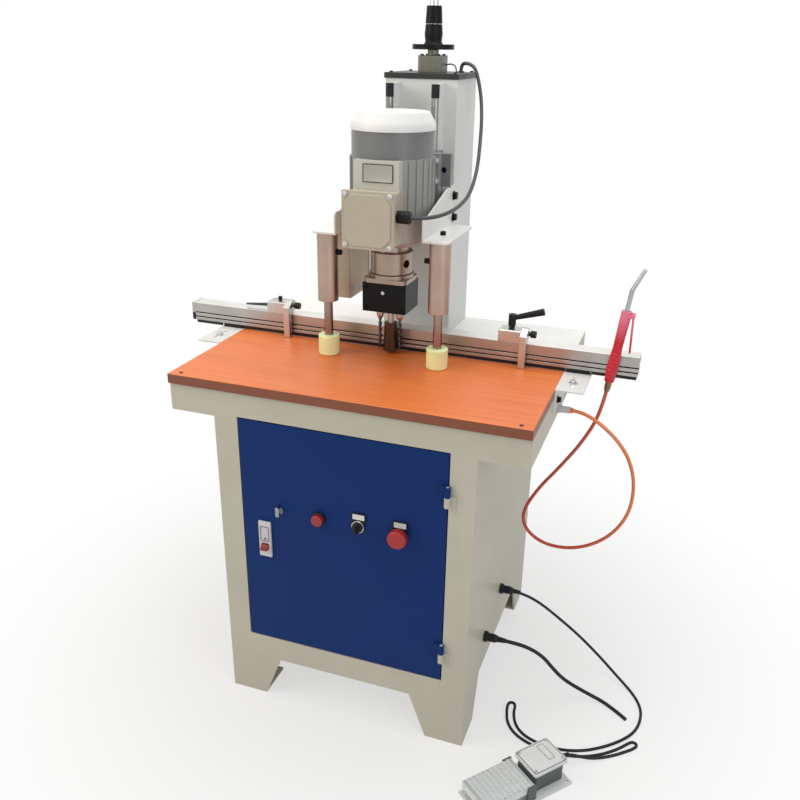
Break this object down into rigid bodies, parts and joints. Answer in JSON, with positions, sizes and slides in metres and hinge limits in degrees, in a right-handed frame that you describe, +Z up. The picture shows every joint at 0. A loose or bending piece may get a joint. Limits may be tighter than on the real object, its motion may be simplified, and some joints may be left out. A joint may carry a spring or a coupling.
{
  "type": "hinge boring machine",
  "caption": "Floor-standing hinge boring machine with a blue-doored cabinet, orange table, fence with flip stops, air clamps, a motor head on a column, a foot pedal and an air gun.",
  "frame": {"origin": "on the floor, at the centre of the four anchor holes in the corner feet", "axes": "+Z up, +X to the right as the user faces the machine, +Y to the back, away from the user"},
  "size_m": [1.2115, 0.8394, 1.593],
  "materials": {
    "cabinet_paint": "powder coat, fine texture",
    "door_paint": "powder coat, satin",
    "table_laminate": "printed wood grain laminate",
    "column_paint": "powder coat, satin",
    "valve_paint": "enamel",
    "black_paint": "satin",
    "black_steel": "blackened",
    "motor_paint": "enamel",
    "canopy_paint": "enamel",
    "terminal_paint": "hammered enamel",
    "plain_steel": "machined",
    "bright_rod": "ground and plated",
    "aluminium": "anodised",
    "zinc_sheet": "zinc plated",
    "bit_steel": "dark oxide",
    "nylon": "cast nylon",
    "red_plastic": "moulded",
    "pink_plastic": "moulded",
    "black_plastic": "moulded",
    "white_plastic": "moulded",
    "pedal_alloy": "cast, sprayed silver",
    "cable_sheath": "extruded",
    "hose_plastic": "extruded polyurethane"
  },
  "bodies": {
    "frame": {"front_frame": "cabinet_paint", "side_panels": "cabinet_paint", "back_and_floor": "cabinet_paint", "corner_feet": "cabinet_paint", "top_frame": "cabinet_paint", "table_top": "table_laminate", "contactor": "black_plastic", "cable_glands": "black_plastic", "column": "column_paint", "column_cap": "black_paint", "guide_posts": "bright_rod", "lift_cylinder": "aluminium", "clamp_brackets": "column_paint", "clamp_cylinders": "aluminium", "valve_box": "valve_paint", "fence_rail": "aluminium", "fence_brackets": "zinc_sheet", "pedal_housing": "pedal_alloy", "gun_body": "red_plastic", "gun_nozzle": "bright_rod", "pedal_cable": "cable_sheath", "mains_lead": "cable_sheath", "air_hose": "hose_plastic", "motor_cable": "cable_sheath"},
    "head": {"carriage": "black_steel", "lift_rod": "bright_rod", "motor_housing": "motor_paint", "end_shield": "motor_paint", "fan_cover": "canopy_paint", "terminal_box": "terminal_paint", "terminal_lid": "terminal_paint", "motor_collar": "plain_steel", "gearbox_cover": "plain_steel", "gearbox_case": "black_steel"},
    "stop_nuts": {"stop_nuts": "black_steel"},
    "spindle": {"rotor_shaft": "black_steel", "centre_spindle": "plain_steel", "cup_bit": "bit_steel"},
    "left_spindle": {"left_spindle": "plain_steel"},
    "right_spindle": {"right_spindle": "plain_steel"},
    "left_clamp": {"left_clamp_rod": "bright_rod", "left_pad": "nylon"},
    "right_clamp": {"right_clamp_rod": "bright_rod", "right_pad": "nylon"},
    "door": {"door_panel": "door_paint", "control_bezels": "black_plastic", "pilot_lamp": "red_plastic", "breaker": "white_plastic"},
    "lock": {"lock_wing": "bright_rod"},
    "breaker_toggle": {"breaker_toggle": "red_plastic"},
    "selector": {"selector_knob": "black_plastic"},
    "stop_button": {"stop_button": "red_plastic"},
    "left_stop": {"left_stop_block": "aluminium"},
    "left_arm": {"left_stop_arm": "plain_steel"},
    "left_knob": {"left_stop_knob": "black_plastic"},
    "right_stop": {"right_stop_block": "aluminium"},
    "right_arm": {"right_stop_arm": "plain_steel"},
    "right_lever": {"right_stop_lever": "black_plastic"},
    "treadle": {"pedal_treadle": "pedal_alloy"},
    "gun_lever": {"gun_lever": "pink_plastic"}
  },
  "joints": [
    {"name": "head_slide", "type": "slide", "parent": "frame", "child": "head", "axis": [0, 0, 1], "range_m": [0, 0.08], "deforming": ["motor_cable"]},
    {"name": "stop_nut_turn", "type": "hinge", "parent": "head", "child": "stop_nuts", "pos_m": [0, 0.247, 1.5], "axis": [0, 0, 1], "continuous": true},
    {"name": "spindle_spin", "type": "hinge", "parent": "head", "child": "spindle", "pos_m": [0, -0.0145, 1], "axis": [0, 0, 1], "continuous": true},
    {"name": "left_spindle_spin", "type": "hinge", "parent": "head", "child": "left_spindle", "pos_m": [-0.024, -0.0205, 0.94], "axis": [0, 0, 1], "continuous": true},
    {"name": "right_spindle_spin", "type": "hinge", "parent": "head", "child": "right_spindle", "pos_m": [0.024, -0.0205, 0.94], "axis": [0, 0, 1], "continuous": true},
    {"name": "left_clamp_slide", "type": "slide", "parent": "frame", "child": "left_clamp", "axis": [0, 0, 1], "range_m": [0, 0.06]},
    {"name": "right_clamp_slide", "type": "slide", "parent": "frame", "child": "right_clamp", "axis": [0, 0, 1], "range_m": [0, 0.06]},
    {"name": "door_hinge", "type": "hinge", "parent": "frame", "child": "door", "pos_m": [0.23825, -0.324, 0.456], "axis": [0, 0, 1], "range_deg": [0, 110]},
    {"name": "lock_turn", "type": "hinge", "parent": "door", "child": "lock", "pos_m": [-0.146, -0.317, 0.53], "axis": [0, -1, 0], "range_deg": [0, 90]},
    {"name": "breaker_throw", "type": "hinge", "parent": "door", "child": "breaker_toggle", "pos_m": [-0.184, -0.322, 0.43], "axis": [-1, 0, 0], "range_deg": [0, 36]},
    {"name": "selector_turn", "type": "hinge", "parent": "door", "child": "selector", "pos_m": [0.042, -0.321, 0.53], "axis": [0, 1, 0], "range_deg": [-45, 45]},
    {"name": "stop_button_push", "type": "slide", "parent": "door", "child": "stop_button", "axis": [0, 1, 0], "range_m": [0, 0.006]},
    {"name": "left_stop_slide", "type": "slide", "parent": "frame", "child": "left_stop", "axis": [1, 0, 0], "range_m": [-0.18, 0.08]},
    {"name": "left_arm_flip", "type": "hinge", "parent": "left_stop", "child": "left_arm", "pos_m": [-0.2702, 0.016, 0.8935], "axis": [-1, 0, 0], "range_deg": [0, 85]},
    {"name": "left_knob_turn", "type": "hinge", "parent": "left_stop", "child": "left_knob", "pos_m": [-0.304, 0.028, 0.91], "axis": [0, 0, 1], "continuous": true},
    {"name": "right_stop_slide", "type": "slide", "parent": "frame", "child": "right_stop", "axis": [1, 0, 0], "range_m": [-0.08, 0.12]},
    {"name": "right_arm_flip", "type": "hinge", "parent": "right_stop", "child": "right_arm", "pos_m": [0.3063, 0.016, 0.8935], "axis": [-1, 0, 0], "range_deg": [0, 85]},
    {"name": "clamp_lever_turn", "type": "hinge", "parent": "right_stop", "child": "right_lever", "pos_m": [0.2725, 0.028, 0.915], "axis": [0, 0, 1], "range_deg": [-60, 60]},
    {"name": "treadle_press", "type": "hinge", "parent": "frame", "child": "treadle", "pos_m": [0.44227, -0.38636, 0.032], "axis": [0.7683, -0.6401, 0], "range_deg": [0, 7], "stiffness_Nm_per_rad": 6, "springref_deg": -8.59},
    {"name": "gun_lever_press", "type": "hinge", "parent": "frame", "child": "gun_lever", "pos_m": [0.53387, -0.0075, 0.96689], "axis": [0, 1, 0], "range_deg": [0, 8], "stiffness_Nm_per_rad": 0.4, "springref_deg": -8.59}
  ],
  "couplings": [
    {"joint": "left_spindle_spin", "follows": "spindle_spin", "ratio": -1},
    {"joint": "right_spindle_spin", "follows": "spindle_spin", "ratio": -1},
    {"joint": "right_clamp_slide", "follows": "left_clamp_slide", "ratio": 1}
  ]
}
